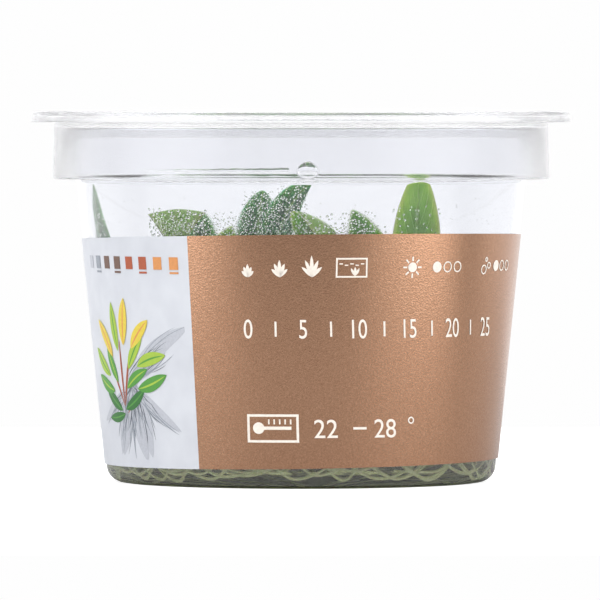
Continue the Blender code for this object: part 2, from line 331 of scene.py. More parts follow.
def gelMaterial():
    # agar with nutrients: clear, wet and olive, darker where there is more of it
    material, tree, shader = newMaterial("nutrientAgar", {
        "Base Color": hexColour("#f1f3da"), "Roughness": 0.02, "IOR": 1.34, "Transmission Weight": 1.0,
    })
    addGrain(tree, shader, 5.0, 0.10, 0.0003, 1.0)
    absorb = addNode(tree, "VolumeAbsorption", {"Color": hexColour("#a3a850"), "Density": 31.0})
    tree.links.new(absorb.outputs[0], tree.nodes["Material Output"].inputs["Volume"])
    return material


def waterMaterial():
    # condensed water, with nothing in it
    material, _, _ = newMaterial("condensedWater", {
        "Base Color": (1, 1, 1, 1), "Roughness": 0.0, "IOR": 1.333, "Transmission Weight": 1.0,
    })
    return material


def leafMaterial(name, young, middle, old):
    # a waxy anubias blade: satin, with a pale midrib, arching side veins and mottled green
    material, tree, shader = newMaterial(name, {
        "Roughness": 0.38, "Specular IOR Level": 0.3, "Subsurface Weight": 0.85,
        "Subsurface Radius": (0.7, 1.0, 0.3), "Subsurface Scale": 0.003,
    })
    place = addNode(tree, "TexCoord")
    mottle = addNode(tree, "TexNoise", {  # blotches about 4 mm wide
        "Vector": place.outputs["Object"], "Scale": 260.0, "Detail": 4.0,
    })
    across, along, _ = addNode(tree, "SeparateXYZ", {0: place.outputs["UV"]}).outputs
    offMidrib = addNode(tree, "Math", {0: across, 1: 0.5}, operation="SUBTRACT").outputs[0]
    offMidrib = addNode(tree, "Math", {0: offMidrib}, operation="ABSOLUTE").outputs[0]
    arch = addNode(tree, "Math", {0: offMidrib, 1: 0.55}, operation="MULTIPLY").outputs[0]
    line = addNode(tree, "Math", {0: along, 1: arch}, operation="SUBTRACT").outputs[0]
    line = addNode(tree, "Math", {0: line, 1: 66.0}, operation="MULTIPLY").outputs[0]
    wave = addNode(tree, "Math", {0: line}, operation="SINE").outputs[0]
    vein = addNode(tree, "MapRange", {"Value": wave, "From Min": 0.72, "From Max": 1.0}).outputs[0]
    midrib = addNode(tree, "MapRange", {
        "Value": offMidrib, "From Min": 0.05, "From Max": 0.015,
    }).outputs[0]
    ribs = addNode(tree, "Math", {0: vein, 1: 0.35}, operation="MULTIPLY").outputs[0]
    ribs = addNode(tree, "Math", {0: ribs, 1: midrib}, operation="MAXIMUM").outputs[0]
    green = addNode(
        tree, "ValToRGB", {"Fac": mottle.outputs["Fac"]}, [(0.3, old), (0.52, middle), (0.75, young)],
    ).outputs["Color"]
    pale = addNode(tree, "Math", {0: ribs, 1: 0.4}, operation="MULTIPLY").outputs[0]
    colour = addNode(
        tree, "MixRGB", {"Fac": pale, "Color1": green, "Color2": hexColour("#b9c987")},
    ).outputs[0]
    tree.links.new(colour, shader.inputs["Base Color"])
    bump = addNode(tree, "Bump", {"Height": ribs, "Strength": 0.5, "Distance": 0.0003}, invert=True)
    tree.links.new(bump.outputs["Normal"], shader.inputs["Normal"])
    return material


def stemMaterial(name, light, dark, grain):
    # living tissue without a wax coat: soft green, flecked and slightly rough
    material, tree, shader = newMaterial(name, {"Roughness": 0.55, "Subsurface Weight": 0.1})
    shader.inputs["Subsurface Scale"].default_value = 0.0008
    flecks = addGrain(tree, shader, grain, 0.5, 0.0003)
    colour = addNode(tree, "ValToRGB", {"Fac": flecks}, [(0.3, dark), (0.7, light)])
    tree.links.new(colour.outputs["Color"], shader.inputs["Base Color"])
    return material


def inkMaterial(name, colour):
    # flat printing ink, with the faint unevenness of a solid print
    material, tree, shader = newMaterial(name, {"Roughness": 0.45})
    film = addGrain(tree, shader, 0.4, 0.05)
    cover = addNode(tree, "MapRange", {
        "Value": film, "From Min": 0.3, "From Max": 0.7, "To Min": 0.9, "To Max": 1.02,
    })
    shade = addNode(tree, "HueSaturation", {"Color": hexColour(colour), "Value": cover.outputs[0]})
    tree.links.new(shade.outputs[0], shader.inputs["Base Color"])
    return material


plasticClear = clearPlastic()
plasticFogged = foggedPlastic()
plasticFrosted = frostedPlastic()
filmCopper = copperFilm()
filmWhite = whiteFilm()
agar = gelMaterial()
water = waterMaterial()
leafGreens = {
    "bright": leafMaterial("waxyLeafYoung", "#a3cb5c", "#8fbb52", "#7ba948"),
    "green": leafMaterial("waxyLeafGrown", "#6da64a", "#53903f", "#3d7a35"),
    "deep": leafMaterial("waxyLeafDeep", "#2f7a4c", "#1f5c3a", "#12462a"),
}
rhizomeSkin = stemMaterial("rhizomeSkin", "#8a9a55", "#5d7038", 0.8)
rootSkin = stemMaterial("rootSkin", "#dfe2bd", "#c2c894", 0.6)
inks = {
    "pale": inkMaterial("inkPale", "#ece4d8"),
    "yellow": inkMaterial("inkYellow", "#d6c040"),
    "lime": inkMaterial("inkLime", "#9cb93a"),
    "green": inkMaterial("inkGreen", "#4c8f35"),
    "forest": inkMaterial("inkForest", "#2c6a2c"),
    "russet": inkMaterial("inkRusset", "#a5502f"),
    "grey": inkMaterial("inkGrey", "#8d939b"),
    "slate": inkMaterial("inkSlate", "#5b6068"),
    "smoke": inkMaterial("inkSmoke", "#b3b6bd"),
    "amber": inkMaterial("inkAmber", "#cf8a4b"),
    "umber": inkMaterial("inkUmber", "#6b5144"),
}
print("finishes made")


def cupPath():
    # the outside of the cup, from the middle of its base to its rim
    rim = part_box("cup")[1]
    slope = (cup["topRadius"] - cup["footRadius"]) / (cup["topHeight"] - cup["footHeight"])
    return roundedPath([
        (0, cup["pushUp"], 0),
        (cup["pushUpRadius"], cup["pushUp"], 0.6),
        (cup["standRadius"], 0, 0.4),
        (cup["footRadius"] - slope * cup["footHeight"], 0, cup["footRounding"]),
        (wallRadius(cup["fogFoot"]), cup["fogFoot"], 0),
        (cup["topRadius"], cup["topHeight"], 0.7),
        (cup["shoulderRadius"] - 0.1, cup["shoulderHeight"] - 0.2, 1.1),
        (rim.x / mm, rim.z / mm, 0),
    ])


def makeCup():
    outside = cupPath()
    inside = offsetPath(outside, cup["wall"])
    top = outside[-1]
    lip = roundedPath([
        (*inside[-2], 0), (top.x - cup["wall"], top.y, 0.35), (top.x, top.y, 0.35), (*outside[-2], 0),
    ])
    path = inside[:-2] + lip + outside[-3::-1]
    bm = spunShape(path, cup["facets"])
    for face in bm.faces:  # the inner wall over the label, at the front
        middle = face.calc_center_median() / mm
        inner = Vector((middle.x, middle.y)).length < wallRadius(middle.z) - cup["wall"] / 2
        if inner and middle.y < -20 and cup["fogFoot"] < middle.z < cup["topHeight"]:
            face.material_index = 1
    finishPiece(bm, "cupShell", [plasticClear, plasticFogged], ["cup"])


lid = dict(
    wall=0.8, panelHeight=63.6, panelRadius=41.7, lip=1.9, skirtRadius=43.4, skirtFlare=0.38,
    skirtFoot=53.4, plugRadius=40.4, plugWall=0.7, plugFoot=60.8, ribs=(12.0, 30.0), ribHeight=0.45,
)


def makeLid():
    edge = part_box("lid")[1] / mm
    wall = lid["wall"]
    panel, skirt, foot = lid["panelHeight"], lid["skirtRadius"], lid["skirtFoot"]
    corners = [(0, panel, 0)]
    for rib in lid["ribs"]:
        corners += [
            (rib - 0.9, panel, 0.4), (rib - 0.4, panel + lid["ribHeight"], 0.3),
            (rib + 0.4, panel + lid["ribHeight"], 0.3), (rib + 0.9, panel, 0.4),
        ]
    corners += [
        (lid["panelRadius"], panel, 0.5),
        (skirt - wall, edge.z, 0.4),
        (edge.x - 0.4, edge.z, 0.5),
        (edge.x, edge.z - lid["lip"], 0.3),
        (edge.x - wall, edge.z - lid["lip"], 0.3),
        (edge.x - wall - 0.3, edge.z - wall, 0.3),
        (skirt, edge.z - wall, 0.5),
        (skirt + lid["skirtFlare"], foot, 0.5),
        (skirt + lid["skirtFlare"] - wall, foot, 0.2),
        (skirt - wall, panel - wall, 0.4),
        (lid["plugRadius"], panel - wall, 0.2),
        (lid["plugRadius"] - 0.2, lid["plugFoot"], 0.3),
        (lid["plugRadius"] - lid["plugWall"], lid["plugFoot"], 0.2),
        (lid["plugRadius"] - lid["plugWall"], panel - wall, 0.3),
        (0, panel - wall, 0),
    ]
    shape = spunShape(roundedPath(corners), cup["facets"])
    finishPiece(shape, "lidCap", [plasticFrosted], ["lid"])


gel = dict(level=13.6, brim=14.7, brimWidth=2.4, bite=0.05)


def makeGel():
    # it fills the cup's foot, bites a little into the wall so that no air shows, and climbs at its edge
    side = [p for p in offsetPath(cupPath(), cup["wall"] - gel["bite"]) if p.y < gel["brim"] - 0.5]
    edge = wallRadius(gel["brim"]) - cup["wall"] + gel["bite"]
    top = roundedPath([
        (0, gel["level"], 0), (edge - gel["brimWidth"], gel["level"], 4.0), (edge, gel["brim"], 0),
    ], 8)
    steps = 24
    inner = [Vector((edge * 0.9 * k / steps, gel["level"])) for k in range(steps)]
    shape = spunShape(inner + top[1:] + side[::-1], 96)
    for point in shape.verts:
        if abs(point.co.z - gel["level"] * mm) < 1e-6:
            point.co.z += 0.25 * mm * noise.noise(point.co * 180)
    finishPiece(shape, "gelLayer", [agar], ["gel"])


makeCup()
makeLid()
makeGel()
print("cup, lid and gel made")


label = dict(
    gap=0.04, thickness=0.28, start=-99.0, end=207.0, step=0.9, whiteEnd=-30.6,
    top=43.2, topTilt=1.0, topTiltAt=22.0, foot=3.8, footTilt=0.55, footTiltAt=114.0,
)


def edgeHeight(which, degrees):
    lean = math.cos(math.radians(degrees - label[which + "TiltAt"]))
    return label[which] + label[which + "Tilt"] * lean


def filmRadius(height):
    return wallRadius(height) + label["gap"] + label["thickness"]


def makeLabel():
    bm = bmesh.new()
    low = bm.verts.new(roundDirection(label["start"]))
    high = bm.verts.new(low.co + Vector((0, 0, 1)))
    steps = round((label["end"] - label["start"]) / label["step"])
    bmesh.ops.spin(
        bm, geom=[low, high, bm.edges.new((low, high))], cent=(0, 0, 0), axis=(0, 0, 1),
        angle=math.radians(label["end"] - label["start"]), steps=steps,
    )
    for face in bm.faces:
        middle = face.calc_center_median()
        degrees = math.degrees(math.atan2(middle.x, -middle.y))
        face.material_index = 1 if label["start"] < degrees < label["whiteEnd"] else 0
    skin = bmesh.ops.extrude_face_region(bm, geom=bm.faces[:], use_keep_orig=True)["geom"]
    outer = {item for item in skin if isinstance(item, bmesh.types.BMVert)}
    for corner in bm.verts:
        degrees = math.degrees(math.atan2(corner.co.x, -corner.co.y))
        height = edgeHeight("top" if corner.co.z > 0.5 else "foot", degrees)
        radius = filmRadius(height) - (0 if corner in outer else label["thickness"])
        corner.co = (roundDirection(degrees) * radius + Vector((0, 0, height))) * mm
    for face in bm.faces:  # the back of the film is bare white
        if not outer.intersection(face.verts):
            face.material_index = 1
    bmesh.ops.recalc_face_normals(bm, faces=bm.faces)
    finishPiece(bm, "labelFilm", [filmCopper, filmWhite], ["label"])


def disc(bm, u, v, radius, segments=32):
    bmesh.ops.create_circle(
        bm, cap_ends=True, segments=segments, radius=radius, matrix=Matrix.Translation((u, v, 0)),
    )


def ring(bm, u, v, radius, width, segments=40):
    edges = []
    for size in (radius, radius - width):
        made = bmesh.ops.create_circle(
            bm, segments=segments, radius=size, matrix=Matrix.Translation((u, v, 0)),
        )
        edges += list({edge for vert in made["verts"] for edge in vert.link_edges})
    bmesh.ops.bridge_loops(bm, edges=edges)


def bar(bm, u, v, width, height, turn=0):
    place = Matrix.Translation((u, v, 0)) @ Matrix.Rotation(math.radians(turn), 4, "Z")
    size = Matrix.Diagonal((width, height, 1, 1))
    bmesh.ops.create_grid(bm, x_segments=1, y_segments=1, size=0.5, matrix=place @ size)


def outline(bm, u, v, width, height, line):
    for side in (-1, 1):
        bar(bm, u + side * (width - line) / 2, v, line, height)
        bar(bm, u, v + side * (height - line) / 2, width - 2 * line, line)


def blade(bm, u, v, length, width, turn, bend=0.0):
    # a pointed oval from (u, v), turned from upright and bent sideways towards its tip
    made = bmesh.ops.create_circle(bm, cap_ends=True, segments=28, radius=0.5)
    rotation = Matrix.Rotation(math.radians(-turn), 3, "Z")
    for vert in made["verts"]:
        along = vert.co.y + 0.5
        taper = max(0.0, 1 - abs(2 * along - 1) ** 2.4) ** 0.35
        side = vert.co.x * width * taper + bend * length * along * along
        vert.co = rotation @ Vector((side, along * length, 0)) + Vector((u, v, 0))


def numerals(bm, text, size, u, v, stretch=1.0):
    curve = bpy.data.curves.new("numerals", "FONT")
    curve.body = text
    curve.size = size
    holder = bpy.data.objects.new("numerals", curve)
    bpy.context.scene.collection.objects.link(holder)
    bpy.context.view_layer.update()
    flat = bpy.data.meshes.new_from_object(holder.evaluated_get(bpy.context.evaluated_depsgraph_get()))
    flat.transform(Matrix.Translation((u, v, 0)) @ Matrix.Diagonal((stretch, 1, 1, 1)))
    bm.from_mesh(flat)
    bpy.data.objects.remove(holder)


def trim(bm, left, right, low, high):
    # cuts away what lies outside a frame on the flat print
    for place, way in (((left, 0, 0), (-1, 0, 0)), ((right, 0, 0), (1, 0, 0)),
                       ((0, low, 0), (0, -1, 0)), ((0, high, 0), (0, 1, 0))):
        bmesh.ops.bisect_plane(
            bm, geom=bm.verts[:] + bm.edges[:] + bm.faces[:], plane_co=place, plane_no=way,
            clear_outer=True,
        )


def layInk(bm, name, colour, degrees, height, lift=0.03, thickness=0.04):
    # cuts the flat print into upright strips, thickens it and bends it round the film
    bmesh.ops.remove_doubles(bm, verts=bm.verts, dist=1e-5)
    across = [vert.co.x for vert in bm.verts]
    cut = math.floor(min(across))
    while cut < max(across):
        bmesh.ops.bisect_plane(
            bm, geom=bm.verts[:] + bm.edges[:] + bm.faces[:], plane_co=(cut, 0, 0), plane_no=(1, 0, 0),
        )
        cut += 1.0
    skin = bmesh.ops.extrude_face_region(bm, geom=bm.faces[:], use_keep_orig=True)["geom"]
    for item in skin:
        if isinstance(item, bmesh.types.BMVert):
            item.co.z = thickness
    for vert in bm.verts:
        upright = height + vert.co.y
        radius = filmRadius(upright) + lift + vert.co.z
        angle = degrees + math.degrees(vert.co.x / radius)
        vert.co = (roundDirection(angle) * radius + Vector((0, 0, upright))) * mm
    bmesh.ops.recalc_face_normals(bm, faces=bm.faces)
    finishPiece(bm, name, [inks[colour]])


def threeDots(bm, u, v, radius, filled):
    for count in range(3):
        place = u + count * radius * 2.5
        if count < filled:
            disc(bm, place, v, radius)
        else:
            ring(bm, place, v, radius, radius * 0.22)


topRow = dict(height=38.4, tufts=-14.0, tank=13.2, sun=30.2, bubbles=57.5, dot=0.95)


def makeTopRow():
    height = topRow["height"]
    bm = bmesh.new()  # three tufts that grow taller, in place of a word
    for count in range(3):
        for lean in (-38, -18, 0, 18, 38):
            tall = (2.2 + 0.75 * count) * (1 - abs(lean) / 110)
            blade(bm, count * 5.6, -1.6, tall, 0.62, lean, lean / 300)
    layInk(bm, "inkTufts", "pale", topRow["tufts"], height)
    bm = bmesh.new()  # an open tank with water and one short plant
    outline(bm, 0, 0, 5.6, 3.4, 0.28)
    for count in range(5):
        bar(bm, -1.9 + count * 0.95, 0.55 + 0.12 * (-1) ** count, 0.6, 0.2)
    for lean in (-30, 0, 30):
        blade(bm, 0.6, -1.4, 1.5, 0.45, lean)
    layInk(bm, "inkTank", "pale", topRow["tank"], height)
    bm = bmesh.new()  # a sun, and one dot of three
    disc(bm, 0, 0, 0.85)
    for count in range(8):
        turn = count * 45
        ray = Vector((0, 1.45, 0))
        ray.rotate(Matrix.Rotation(math.radians(turn), 3, "Z"))
        bar(bm, ray.x, ray.y, 0.28, 0.75, turn)
    threeDots(bm, 5.2, 0, topRow["dot"], 1)
    layInk(bm, "inkSun", "pale", topRow["sun"], height)
    bm = bmesh.new()  # bubbles, and one dot of three
    for u, v, radius in ((-0.8, -0.6, 0.85), (0.75, 0.1, 0.6), (-0.15, 1.15, 0.42)):
        ring(bm, u, v, radius, 0.22, 24)
    threeDots(bm, 3.4, 0, topRow["dot"], 1)
    layInk(bm, "inkBubbles", "pale", topRow["bubbles"], height)


scaleRow = dict(start=-14.2, height=27.8, numbers=6, each=5, spacing=9.6, size=4.7, stretch=0.74)


def makeScaleRow():
    # a plain scale of numbers, with a tick between each two
    bm = bmesh.new()
    for count in range(scaleRow["numbers"]):
        text = str(count * scaleRow["each"])
        place = count * scaleRow["spacing"]
        numerals(bm, text, scaleRow["size"], place - 0.9 * len(text), -1.6, scaleRow["stretch"])
        if count < scaleRow["numbers"] - 1:
            bar(bm, place + scaleRow["spacing"] / 2, 0, 0.34, 2.6)
    layInk(bm, "inkScale", "pale", scaleRow["start"], scaleRow["height"])


bottomRow = dict(start=-15.0, height=10.6, coolest="22", warmest="28", size=4.6, stretch=0.95)


def makeBottomRow():
    bm = bmesh.new()  # a framed thermometer, then a span of degrees
    outline(bm, 4.4, 0, 9.0, 4.9, 0.42)
    bar(bm, 4.9, 0.05, 5.4, 0.55)
    disc(bm, 1.9, 0.05, 1.0)
    for count in range(5):
        bar(bm, 3.7 + count * 0.95, 1.15, 0.24, 0.85)
    numerals(bm, bottomRow["coolest"], bottomRow["size"], 11.4, -1.65, bottomRow["stretch"])
    bar(bm, 19.6, 0.0, 2.4, 0.42)
    numerals(bm, bottomRow["warmest"], bottomRow["size"], 22.1, -1.65, bottomRow["stretch"])
    ring(bm, 29.4, 1.25, 0.62, 0.24, 24)
    layInk(bm, "inkWarmth", "pale", bottomRow["start"], bottomRow["height"])


panel = dict(
    blocks=["smoke", "grey", "umber", "umber", "russet", "russet", "amber", "amber"],
    firstBlock=-73.0, blockStep=5.4, blockHeight=39.0, woodAt=(-54.5, 18.3), plantAt=(-59.0, 23.0),
    woodFrame=(-22.0, 14.0, -13.6, 20.0), woodScale=(1.35, 1.08, 1), plantScale=(1.35, 1.3, 1),
    inkThickness=0.01,
    limbs=[  # length, width, turn and bend of each piece of wood
        (-11.5, 2.0, -38, -0.16), (-12.5, 2.5, -20, 0.1), (-13, 2.8, -5, -0.07), (-12.5, 2.6, 10, 0.1),
        (-12.5, 2.3, 25, -0.12), (-11, 2.0, 43, 0.18), (14, 2.8, 38, 0.22), (9, 1.7, 66, -0.25),
    ],
    # colour of a pencil stroke, strokes on a limb, longest and width as shares of the limb
    strokes=[("grey", 9, 0.6, 0.2), ("slate", 5, 0.35, 0.15)],
    leaves={  # u, v, length, width, turn and bend of each leaf, and of the stalks
        "russet": [
            (0.2, -7, 8, 0.4, 10, 0.1), (0, -7, 7, 0.35, -22, -0.1), (0.6, -8, 6.5, 0.4, 44, 0.1),
            (0.1, -7, 9, 0.4, -4, 0.05),
        ],
        "forest": [
            (0.2, -7.4, 5.2, 1.6, 70, -0.2), (-0.6, -7.6, 5.4, 1.6, -62, 0.1),
            (0, -8, 4.6, 1.4, -110, 0.2),
        ],
        "green": [
            (3.4, -4.6, 5.8, 1.9, 82, -0.2), (-2.4, -5.0, 5.4, 1.8, -80, 0.2),
            (1, -4.6, 5.2, 1.6, 48, 0.2), (-1.2, -3.8, 5.4, 1.5, -34, 0.1),
        ],
        "lime": [
            (-3.4, -3.0, 5.8, 1.7, -58, 0.12), (3.6, -1.6, 5.6, 1.8, 62, 0.2),
            (-0.6, 0.4, 6.6, 1.6, -14, 0.1), (1.6, -2.0, 5.8, 1.6, 28, 0.15),
        ],
        "yellow": [
            (0.9, 1.2, 6.4, 1.9, 2, 0.1), (-2.2, -0.4, 6.2, 1.7, -30, -0.15),
            (2.6, 0.8, 5.4, 1.8, 36, 0.15),
        ],
    },
    veins={"russet": "umber", "forest": "green", "green": "lime", "lime": "green", "yellow": "amber"},
)


def makeBlocks():
    # a row of blocks that warm from grey to amber
    for count, colour in enumerate(panel["blocks"]):
        bm = bmesh.new()
        bar(bm, 0, 0, 1.9, 2.2)
        if count % 2:
            bar(bm, 0, -1.65, 1.9, 0.35)
        place = panel["firstBlock"] + panel["blockStep"] * count
        layInk(bm, f"inkBlock{count + 1}", colour, place, panel["blockHeight"])


def makeDrawnWood():
    # pale limbs, with pencil strokes along them
    pencil = random.Random(4)
    wood = {"smoke": bmesh.new(), "grey": bmesh.new(), "slate": bmesh.new()}
    for length, width, turn, bend in panel["limbs"]:
        blade(wood["smoke"], 0, 0, length, width, turn, bend)
        slope = math.radians(turn)
        way = Vector((math.sin(slope), math.cos(slope))) * math.copysign(1, length)
        for colour, count, longest, share in panel["strokes"]:
            for _ in range(count):
                start = pencil.uniform(0, 0.5) * abs(length)
                blade(
                    wood[colour], way.x * start + pencil.uniform(-0.5, 0.5) * width, way.y * start,
                    length * pencil.uniform(0.2, longest), pencil.uniform(0.5, 1.2) * share,
                    turn + pencil.uniform(-9, 9), bend + pencil.uniform(-0.1, 0.1),
                )
    for layer, (colour, bm) in enumerate(wood.items()):
        bmesh.ops.scale(bm, vec=panel["woodScale"], verts=bm.verts)
        trim(bm, *panel["woodFrame"])
        layInk(
            bm, f"inkWood{colour.title()}", colour, *panel["woodAt"], 0.02 + 0.006 * layer,
            panel["inkThickness"],
        )


def makeDrawnPlant():
    # flat leaves and stalks, each with a thin vein, laid over the wood from dark to light
    for layer, (colour, leaves) in enumerate(panel["leaves"].items()):
        bm = bmesh.new()
        veins = bmesh.new()
        for u, v, length, width, turn, bend in leaves:
            blade(bm, u, v, length, width, turn, bend)
            blade(veins, u, v, length * 0.95, width * 0.14, turn, bend)
        lift = 0.045 + 0.014 * layer
        for shape, name, ink in ((bm, "Plant", colour), (veins, "Vein", panel["veins"][colour])):
            bmesh.ops.scale(shape, vec=panel["plantScale"], verts=shape.verts)
            layInk(
                shape, f"ink{name}{colour.title()}", ink, *panel["plantAt"], lift, panel["inkThickness"],
            )
            lift += 0.006


makeLabel()
makeTopRow()
makeScaleRow()
makeBottomRow()
makeBlocks()
makeDrawnWood()
makeDrawnPlant()
print("label and print made")


leafLook = dict(
    subdivisions=2, grooveDepth=0.10, ribHeight=0.22, waviness=0.35, footOverlap=1.6,
    pressedFrom=54.0, pressed=0.25,
)
tones = {
    "leaf_3_2": "bright", "leaf_1_2": "bright", "leaf_2_4": "bright", "leaf_1_4": "bright",
    "leaf_2_3": "deep", "leaf_6_4": "deep", "leaf_1_3": "deep", "leaf_2_2": "deep",
}


def stepsFrom(start, points):
    # how many edges away each point is
    away = {start: 0}
    front = [start]
    while front:
        following = []
        for vert in front:
            for edge in vert.link_edges:
                other = edge.other_vert(vert)
                if other not in away:
                    away[other] = away[vert] + 1
                    following.append(other)
        front = following
    return away


def walkRing(ringOf, number):
    # the points of one ring round the leaf, in order
    members = [vert for vert, ring in ringOf.items() if ring == number]
    order = [members[0]]
    while len(order) < len(members):
        for edge in order[-1].link_edges:
            other = edge.other_vert(order[-1])
            outer = any(ringOf[v] != number for face in edge.link_faces for v in face.verts)
            if ringOf[other] == number and outer and other not in order:
                order.append(other)
                break
    return order


def leafCage(node):
    # the CAD leaf as rings of quads; each point gets its ring and its place round the ring
    bm = bmesh.new()
    bm.from_mesh(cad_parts[node].data)
    bmesh.ops.remove_doubles(bm, verts=bm.verts, dist=1e-6)
    lowest = min(bm.verts, key=lambda vert: vert.co.z)
    fromFoot = stepsFrom(lowest, bm.verts)
    tip = max((v for v in bm.verts if len(v.link_edges) == 8), key=lambda v: fromFoot[v])
    ringOf = stepsFrom(tip, bm.verts)
    rings = [walkRing(ringOf, number) for number in range(1, max(ringOf.values()) + 1)]
    for near, far in zip(rings, rings[1:]):
        turns = [far[k:] + far[:k] for k in range(8)] + [far[k::-1] + far[:k:-1] for k in range(8)]
        far[:] = min(turns, key=lambda turn: sum((a.co - b.co).length for a, b in zip(near, turn)))
    widest = max(rings, key=lambda ring: max((ring[k].co - ring[k + 4].co).length for k in range(4)))
    start = max(range(4), key=lambda k: (widest[k].co - widest[k + 4].co).length)
    upper = widest[start + 2].co
    under = widest[(start + 6) % 8].co
    flipped = under.z > upper.z
    places = {}
    for number, ring in enumerate(rings):
        for k in range(8):
            places[ring[(start + k) % 8]] = (number, (8 - k) % 8 if flipped else k)
    return bm, tip, places, len(rings)


def makeLeaf(node):
    bm, tip, places, count = leafCage(node)
    folds = []
    for edge in bm.edges:
        ends = [places.get(vert) for vert in edge.verts]
        if None in ends:
            continue
        crossing = ends[0][0] != ends[1][0] and ends[0][1] != ends[1][1]
        inCap = ends[0][0] == ends[1][0] == count - 1 and (ends[0][1] - ends[1][1]) % 8 not in (1, 7)
        if crossing or inCap:
            folds.append(edge)
    bmesh.ops.dissolve_edges(bm, edges=folds, use_verts=False)
    crease = bm.edges.layers.float.new("crease_edge")
    for edge in bm.edges:
        ends = [places.get(vert, (0, None)) for vert in edge.verts]
        around = {end[1] for end in ends} - {None}
        if around in ({0}, {4}):
            edge[crease] = 0.9
        elif around == {2}:
            edge[crease] = 0.35
    uv = bm.loops.layers.uv.new("leafPlace")
    for face in bm.faces:
        for loop in face.loops:
            ring, turn = places.get(loop.vert, (-1, 2))
            loop[uv].uv = (0.5 + 0.5 * math.cos(math.pi * turn / 4), 1 - (ring + 1) / count)
    bm.normal_update()
    phase = sum(node.encode()) * 0.7
    blades = count - 3  # the last three rings are the petiole
    moves = {}
    for vert, (ring, turn) in places.items():
        move = Vector()
        if ring < blades:
            if turn == 2:
                move = -vert.normal * leafLook["grooveDepth"]
            elif turn == 6:
                move = vert.normal * leafLook["ribHeight"] * (ring + 1) / blades
            ripple = math.sin(phase + ring * 1.9 + (turn in (3, 4, 5)) * 1.3)
            edgeShare = abs(math.cos(math.pi * turn / 4)) ** 2
            move += placeNormal(vert, turn) * ripple * edgeShare * leafLook["waviness"]
        moves[vert] = move
    foot = [vert for vert, (ring, _) in places.items() if ring == count - 1]
    above = [vert for vert, (ring, _) in places.items() if ring == count - 2]
    down = sum((v.co for v in foot), Vector()) / 8 - sum((v.co for v in above), Vector()) / 8
    for vert, move in moves.items():
        vert.co += move * mm
    for vert in foot:
        vert.co += down.normalized() * leafLook["footOverlap"] * mm
    for vert in bm.verts:  # a tip that reaches the cup's collar is pressed flat under the damp lid
        above = vert.co.z - leafLook["pressedFrom"] * mm
        if above > 0:
            vert.co.z -= above * (1 - leafLook["pressed"])
    green = leafGreens[tones.get(node, "green")]
    piece = finishPiece(bm, node.replace("leaf", "anubiasLeaf"), [green], [node], 80)
    smooth = piece.modifiers.new("smooth", "SUBSURF")
    smooth.levels = leafLook["subdivisions"]
    smooth.render_levels = leafLook["subdivisions"]
    return piece


def placeNormal(vert, turn):
    # the way that the blade's upper side faces at this point
    return vert.normal if turn in (1, 2, 3) else -vert.normal if turn in (5, 6, 7) else Vector()


rhizomeLook = dict(knobs=0.22, cuts=2, rounding=0.6)


def makeRhizome(number):
    # the knobbly creeping stem
    bm = bmesh.new()
    bm.from_mesh(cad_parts[f"rhizome_{number}"].data)
    bmesh.ops.remove_doubles(bm, verts=bm.verts, dist=1e-6)
    bmesh.ops.join_triangles(
        bm, faces=bm.faces, angle_face_threshold=0.9, angle_shape_threshold=2.0,
    )
    bmesh.ops.subdivide_edges(
        bm, edges=bm.edges, cuts=rhizomeLook["cuts"], smooth=rhizomeLook["rounding"], use_grid_fill=True,
    )
    bmesh.ops.recalc_face_normals(bm, faces=bm.faces)
    bm.normal_update()
    moved = {}
    for vert in bm.verts:
        knob = noise.noise(vert.co * 900 + Vector((number, 0, 0)))
        moved[vert] = vert.co + vert.normal * rhizomeLook["knobs"] * mm * knob
    for vert, place in moved.items():
        vert.co = place
    node = f"rhizome_{number}"
    finishPiece(bm, f"anubiasRhizome_{number}", [rhizomeSkin], [node], 60)


rootLook = dict(count=10, thickness=0.29, clearance=0.5, deepest=1.5)


def rootLimit(height):
    # how far from the axis a root can lie at this height, inside the cup's rounded foot
    corner = cup["footRadius"] - cup["footRounding"]
    rounding = cup["footRounding"] - cup["wall"] - rootLook["clearance"]
    if height < cup["footHeight"]:
        return corner + math.sqrt(max(0, rounding ** 2 - (cup["footHeight"] - height) ** 2))
    return wallRadius(height) - cup["wall"] - rootLook["clearance"]


def rootPoints(start, degrees, luck):
    # down and out through the gel to the wall, then along it, dipping to the foot and up again
    side = luck.choice((-1, 1))
    span = side * luck.uniform(15, 36)
    first, last = luck.uniform(5, 11), luck.uniform(3, 9)
    deep = luck.uniform(rootLook["deepest"], 3.2)
    points = []
    landing = roundDirection(degrees) * rootLimit(first) + Vector((0, 0, first))
    for step in range(6):
        share = step / 6
        sag = Vector((0, 0, -1.5 * math.sin(math.pi * share)))
        points.append(start.lerp(landing, share) + sag)
    for step in range(14):
        share = step / 13
        rise = (first if share < 0.5 else last) - deep
        height = deep + rise * (2 * share - 1) ** 2
        place = roundDirection(degrees + span * share) * rootLimit(height)
        points.append(place + Vector((0, 0, height)))
    return points


